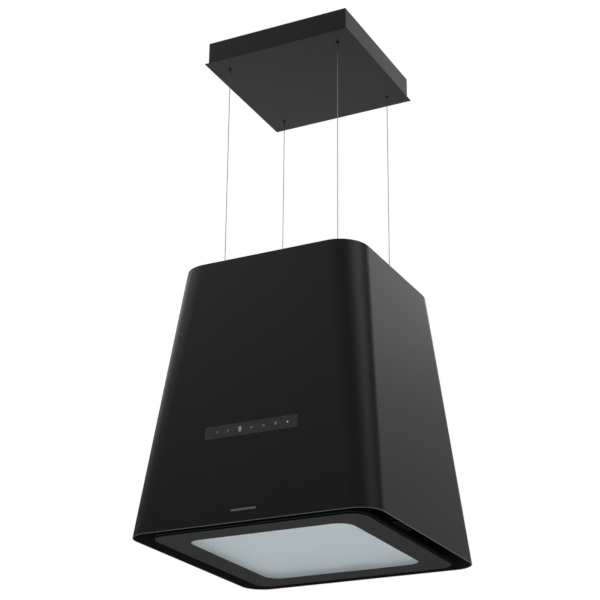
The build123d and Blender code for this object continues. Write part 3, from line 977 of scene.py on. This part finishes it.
def make_anchors():
    """Turned wire anchors on the top plate, knurled for the fingers."""
    low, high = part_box("anchor_sockets")
    base, top = low.z, high.z
    pivot = top - 10 * MM
    dome = []
    start = math.asin(WIRE_OPENING / SEAT_RADIUS)
    for step in range(6):
        angle = start + (math.pi / 2 - start) * step / 5
        dome.append((SEAT_RADIUS * math.sin(angle), pivot + SEAT_RADIUS * math.cos(angle)))
    outside = [
        (SEAT_RADIUS, base), (ANCHOR_FOOT, base), (ANCHOR_FOOT, base + 2 * MM),
        (ANCHOR_BODY, base + 2 * MM), (ANCHOR_BODY, base + 3.5 * MM), (ANCHOR_BODY, top - 2 * MM),
        (ANCHOR_BODY, top), (WIRE_OPENING, top),
    ]
    profile = eased(outside, 0.5 * MM, False) + dome
    turned = lathe(profile, KNURL_SIDES, True, knurled(base + 3 * MM, top - 1.5 * MM, 0.3 * MM))
    anchors = [moved(turned, Matrix.Translation((x, y, 0))) for x, y in wire_places()]
    steel = brushed("turned_steel", (0.5, 0.5, 0.5), 0.3, (1, 1, 10))
    add_piece("wire_anchors", joined(anchors), steel, "hood", ["anchor_sockets"])


# ------------------------------------------------------------------ top of the hood


def hexagon(across_corners, low, high):
    """Outline of a hexagon between two heights; outside them the part stays round."""
    def outline(angle, radius, z):
        if not low < z < high or radius < 7 * MM:
            return radius
        flat = across_corners / 2 * math.cos(math.pi / 6)
        turn = (angle % (math.pi / 3)) - math.pi / 6
        return min(radius, flat / math.cos(turn))
    return outline


def make_gland(nylon):
    """Nylon cable gland: chamfered hexagon body under a ribbed dome nut."""
    low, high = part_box("cable_gland")
    middle = (low + high) / 2
    plate_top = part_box("top_plate")[1].z
    bore = 3.5 * MM
    body_top = plate_top + 7 * MM
    nut_top = plate_top - 1.5 * MM
    corner = 10 * MM
    ease = 0.7 * MM
    face = 8.9 * MM
    stem = 6 * MM
    profile = [
        (bore, low.z), (face, low.z), (corner, low.z + ease), (corner, nut_top - ease),
        (face, nut_top), (stem, nut_top), (stem, plate_top), (face, plate_top),
        (corner, plate_top + ease), (corner, body_top - ease), (face, body_top),
        (8 * MM, body_top + 0.4 * MM), (7.7 * MM, body_top + 6 * MM), (6.4 * MM, high.z - 2 * MM),
        (5.5 * MM, high.z), (bore, high.z),
    ]
    ribs = 24
    hexagons = hexagon(2 * corner, low.z - MM, body_top + 0.1 * MM)

    def outline(angle, radius, z):
        if z > body_top + 0.1 * MM:
            dent = 0.3 * MM if radius > 6 * MM and math.cos(ribs * angle) < 0 else 0
            return radius - dent
        return hexagons(angle, radius, z)

    gland = lathe(profile, 96, True, outline)
    place = Matrix.Translation((middle.x, middle.y, 0))
    add_piece("gland", moved(gland, place), nylon, "hood", ["cable_gland"])


def make_grille_screws():
    """Button heads with a hexagon socket, on short stems."""
    low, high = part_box("grille_screws")
    head = 3.2 * MM
    stem = 1.7 * MM
    top = high.z
    under = top - 1.6 * MM
    profile = [
        (0.2 * MM, low.z), (stem, low.z), (stem, under), (head, under), (head, under + 0.4 * MM),
        (head * 0.86, top - 0.35 * MM), (head * 0.6, top), (0.2 * MM, top),
    ]
    screw = lathe(profile, 32)
    reach = Vector((high.x - head, high.y - head))
    places = [(x * reach.x, y * reach.y) for x in (-1, 1) for y in (-1, 1)]
    screws = joined([moved(screw, Matrix.Translation((x, y, 0))) for x, y in places])
    steel = brushed("screw_steel", (0.5, 0.5, 0.49), 0.3, (1, 1, 1))
    piece = add_piece("grille_bolts", screws, steel, "hood", ["grille_screws"])
    socket = lathe([(1.25 * MM, top - 1 * MM), (1.25 * MM, top + MM)], 6)
    sockets = joined([moved(socket, Matrix.Translation((x, y, 0))) for x, y in places])
    cut(piece, sockets)


# ------------------------------------------------------------------ grease filter


def expanded_sheet(width, depth, pitch, strand_width, thickness, z):
    """Diamond mesh of wavy strands, each touching the next at its crests."""
    shapes = []
    rows = round(depth / (pitch[1] / 2))
    row_depth = depth / rows
    periods = round(width / pitch[0])
    steps = 6
    count = periods * steps
    amplitude = (row_depth - strand_width * 0.8) / 2
    for row in range(rows):
        side = 1 if row % 2 else -1
        middle = -depth / 2 + row_depth * (row + 0.5)
        rings = []
        for step in range(count + 1):
            x = -width / 2 + width * step / count
            wave = side * math.cos(2 * math.pi * step / steps)
            y = middle + amplitude * wave
            half = strand_width / 2
            tilt = thickness * 0.35 * wave
            ring = [
                (x, y - half, z - tilt), (x, y + half, z + tilt),
                (x, y + half, z + thickness + tilt), (x, y - half, z + thickness - tilt),
            ]
            rings.append([Vector(point) for point in ring])
        shapes.append(skin(rings))
    return joined(shapes)


def make_grease_mesh():
    """An expanded sheet over a corrugated pack, all inside the space of the filter's pad."""
    low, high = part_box("grease_filter_mesh")
    middle = (low + high) / 2
    width, depth = high.x - low.x, high.y - low.y
    metal = aluminium_mesh()
    place = Matrix.Translation((middle.x, middle.y, 0))
    pitch = (13 * MM, 7 * MM)
    base = low.z + 0.4 * MM
    front = expanded_sheet(width - MM, depth - MM, pitch, 1.1 * MM, 0.5 * MM, base)
    add_piece(
        "mesh_face", moved(front, place), metal, "hood", ["grease_filter_mesh"], 50,
    )
    waves = 90
    near, far = -depth / 2, depth / 2
    rings = []
    for step in range(waves * 4 + 1):
        x = -width / 2 + width * step / (waves * 4)
        lift = 0.9 * MM * math.sin(2 * math.pi * step / 4)
        base = low.z + 3 * MM + lift
        ring = [(x, near, base), (x, far, base), (x, far, high.z), (x, near, high.z)]
        rings.append([Vector(point) for point in ring])
    add_piece("mesh_pack", moved(skin(rings), place), metal, "hood", (), 60)


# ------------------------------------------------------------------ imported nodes


def dress(material, *names):
    """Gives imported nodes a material."""
    for name in names:
        node = NODES[name]
        node.data.materials.clear()
        node.data.materials.append(material)


def soften(width, *names):
    """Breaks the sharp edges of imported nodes, as on bent and deburred sheet."""
    for name in names:
        node = NODES[name]
        weld = node.modifiers.new("weld", "WELD")
        weld.merge_threshold = 0.001 * MM
        flat = node.modifiers.new("whole_faces", "DECIMATE")
        flat.decimate_type = "DISSOLVE"
        flat.angle_limit = math.radians(1)
        bevel = node.modifiers.new("break_edges", "BEVEL")
        bevel.width = width
        bevel.segments = 2
        bevel.limit_method = "ANGLE"
        bevel.angle_limit = math.radians(40)
        bevel.harden_normals = True


def dress_nodes(coat, nylon, steel):
    """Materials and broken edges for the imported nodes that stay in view."""
    dress(coat, "top_plate", "outlet_grille", "intake_plate", "hinge_ears", "hinge_brackets")
    dress(coat, "catch_brackets", "grease_filter_frame")
    dress(
        galvanised(), "mounting_plate", "led_driver", "motor_capacitor", "outlet_duct", "motor",
        "motor_spider",
    )
    dress(
        steel, "canopy_screws", "upper_sockets", "upper_socket_nuts", "anchor_nuts", "latch_spring",
        "motor_shaft", "striker_plates", "hinge_pins", "anchor_ball_first", "anchor_balls_other",
    )
    dress(
        nylon, "terminal_block", "touch_housing", "control_box", "filter_latch", "impeller",
        "filter_collars", "blower_housing_left", "blower_housing_right",
    )
    dress(circuit_board(), "touch_board", "control_board")
    dress(reflector(), "light_chamber")
    dress(led_tape(), "led_strips")
    dress(magnet_nickel(), "lid_magnets", "catch_magnets")
    dress(charcoal_case(), "charcoal_filter_left", "charcoal_filter_right")
    soften(
        0.25 * MM, "outlet_grille", "intake_plate", "top_plate", "grease_filter_frame",
        "filter_latch", "hinge_ears", "hinge_brackets", "catch_brackets", "striker_plates",
    )


make_camera()
make_studio()
black_coat = powder_coat()
black_nylon = moulded("black_nylon", (0.022, 0.022, 0.023), 0.45)
stainless = brushed("stainless", (0.5, 0.5, 0.49), 0.32, (1, 1, 6))
make_casing(black_coat)
make_controls()
make_badge()
make_panel_glass()
make_tray(black_coat)
make_canopy(black_coat)
make_grommets()
make_ropes()
make_swivel_balls(stainless)
make_anchors()
make_gland(black_nylon)
make_grille_screws()
make_grease_mesh()
dress_nodes(black_coat, black_nylon, stainless)
